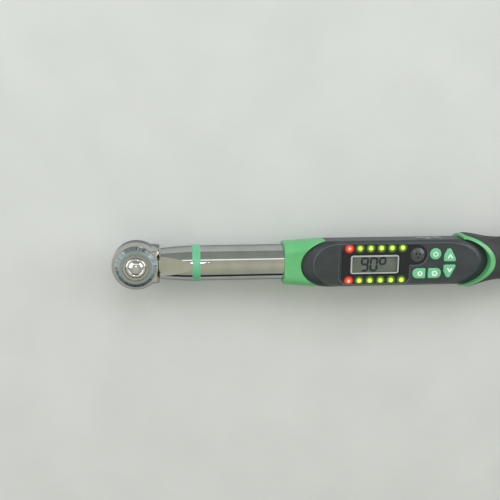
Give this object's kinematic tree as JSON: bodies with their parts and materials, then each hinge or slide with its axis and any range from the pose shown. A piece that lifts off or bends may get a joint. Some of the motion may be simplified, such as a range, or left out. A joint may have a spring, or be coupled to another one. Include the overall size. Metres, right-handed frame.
{
  "type": "torque angle wrench",
  "caption": "Digital torque and angle wrench: round reversible ratchet head with half-inch square drive, chrome tube, display housing with keys and lamps, rubber grip.",
  "frame": {"origin": "on the square drive's axis, at the plane where a socket seats against the anvil", "axes": "+X along the handle away from the head, +Z out of the display, so the square drive points down -Z"},
  "size_m": [0.4174, 0.047, 0.0493],
  "materials": {
    "chrome": "polished",
    "dial_steel": "satin",
    "steel": "satin",
    "trim_green": "satin",
    "housing_black": "fine textured",
    "bezel_smoke": "gloss",
    "frame_grey": "satin",
    "lcd": "satin",
    "window": "clear",
    "lens_red": "clear, lit",
    "lens_green": "clear, lit",
    "buzzer_black": "satin",
    "key_green": "matt",
    "rubber_black": "matt",
    "cap_black": "satin",
    "board": "satin",
    "cell": "gloss"
  },
  "bodies": {
    "wrench": {"ratchet_head": "chrome", "neck_sleeve": "chrome", "chrome_tube": "chrome", "pawl_pin": "steel", "gear_cover_plate": "steel", "plate_snap_ring": "steel", "detent_ball": "steel", "detent_spring": "steel", "cross_pin": "steel", "tube_pin": "steel", "torque_beam": "steel", "handle_tube": "steel", "housing_screws": "steel", "contact_spring": "steel", "accent_ring": "trim_green", "front_collar": "trim_green", "tail_band": "trim_green", "upper_housing": "housing_black", "lower_housing": "housing_black", "display_bezel": "bezel_smoke", "lcd_frame": "frame_grey", "lcd_glass": "lcd", "lcd_window": "window", "red_lamp_lenses": "lens_red", "green_lamp_lenses": "lens_green", "buzzer_cap": "buzzer_black", "buzzer": "buzzer_black", "rubber_grip": "rubber_black", "circuit_board": "board", "key_switches": "board", "data_port": "board", "strain_gauges": "board", "battery_cells": "cell"},
    "anvil": {"anvil": "chrome", "dial_snap_ring": "steel", "release_spring": "steel"},
    "dial": {"reversing_dial": "dial_steel"},
    "pawl": {"pawl": "steel"},
    "release_button": {"release_button": "chrome"},
    "locking_ball": {"locking_ball": "steel"},
    "round_key": {"round_key": "key_green"},
    "up_key": {"up_key": "key_green"},
    "down_key": {"down_key": "key_green"},
    "clear_key": {"clear_key": "key_green"},
    "set_key": {"set_key": "key_green"},
    "port_cover": {"port_cover": "rubber_black"},
    "battery_cap": {"battery_cap": "cap_black", "cap_seal": "rubber_black"}
  },
  "joints": [
    {"name": "anvil_spin", "type": "hinge", "parent": "wrench", "child": "anvil", "pos_m": [0, 0, 0], "axis": [0, 0, 1], "continuous": true},
    {"name": "dial_turn", "type": "hinge", "parent": "wrench", "child": "dial", "pos_m": [0, 0, 0.025], "axis": [0, 0, 1], "range_deg": [-24, 0]},
    {"name": "pawl_rock", "type": "hinge", "parent": "wrench", "child": "pawl", "pos_m": [0.0137, 0, 0.01], "axis": [0, 0, 1], "range_deg": [-16, 0]},
    {"name": "button_press", "type": "slide", "parent": "anvil", "child": "release_button", "axis": [0, 0, -1], "range_m": [0, 0.0024], "stiffness_N_per_m": 800, "springref_m": -0.002, "deforming": ["release_spring"]},
    {"name": "ball_slide", "type": "slide", "parent": "anvil", "child": "locking_ball", "axis": [0, 1, 0], "range_m": [0, 0.00085]},
    {"name": "round_key_press", "type": "slide", "parent": "wrench", "child": "round_key", "axis": [0, 0, -1], "range_m": [0, 0.001], "stiffness_N_per_m": 400, "springref_m": -0.0005},
    {"name": "up_key_press", "type": "slide", "parent": "wrench", "child": "up_key", "axis": [0, 0, -1], "range_m": [0, 0.001], "stiffness_N_per_m": 400, "springref_m": -0.0005},
    {"name": "down_key_press", "type": "slide", "parent": "wrench", "child": "down_key", "axis": [0, 0, -1], "range_m": [0, 0.001], "stiffness_N_per_m": 400, "springref_m": -0.0005},
    {"name": "clear_key_press", "type": "slide", "parent": "wrench", "child": "clear_key", "axis": [0, 0, -1], "range_m": [0, 0.001], "stiffness_N_per_m": 400, "springref_m": -0.0005},
    {"name": "set_key_press", "type": "slide", "parent": "wrench", "child": "set_key", "axis": [0, 0, -1], "range_m": [0, 0.001], "stiffness_N_per_m": 400, "springref_m": -0.0005},
    {"name": "port_cover_swing", "type": "hinge", "parent": "wrench", "child": "port_cover", "pos_m": [0.269, 0.0207, 0.02], "axis": [0, 0, -1], "range_deg": [0, 70]},
    {"name": "battery_cap_turn", "type": "hinge", "parent": "wrench", "child": "battery_cap", "pos_m": [0.3876, 0, 0.0135], "axis": [1, 0, 0], "range_deg": [0, 90]}
  ],
  "couplings": [
    {"joint": "pawl_rock", "follows": "dial_turn", "ratio": 0.66667},
    {"joint": "ball_slide", "follows": "button_press", "ratio": 0.354}
  ]
}
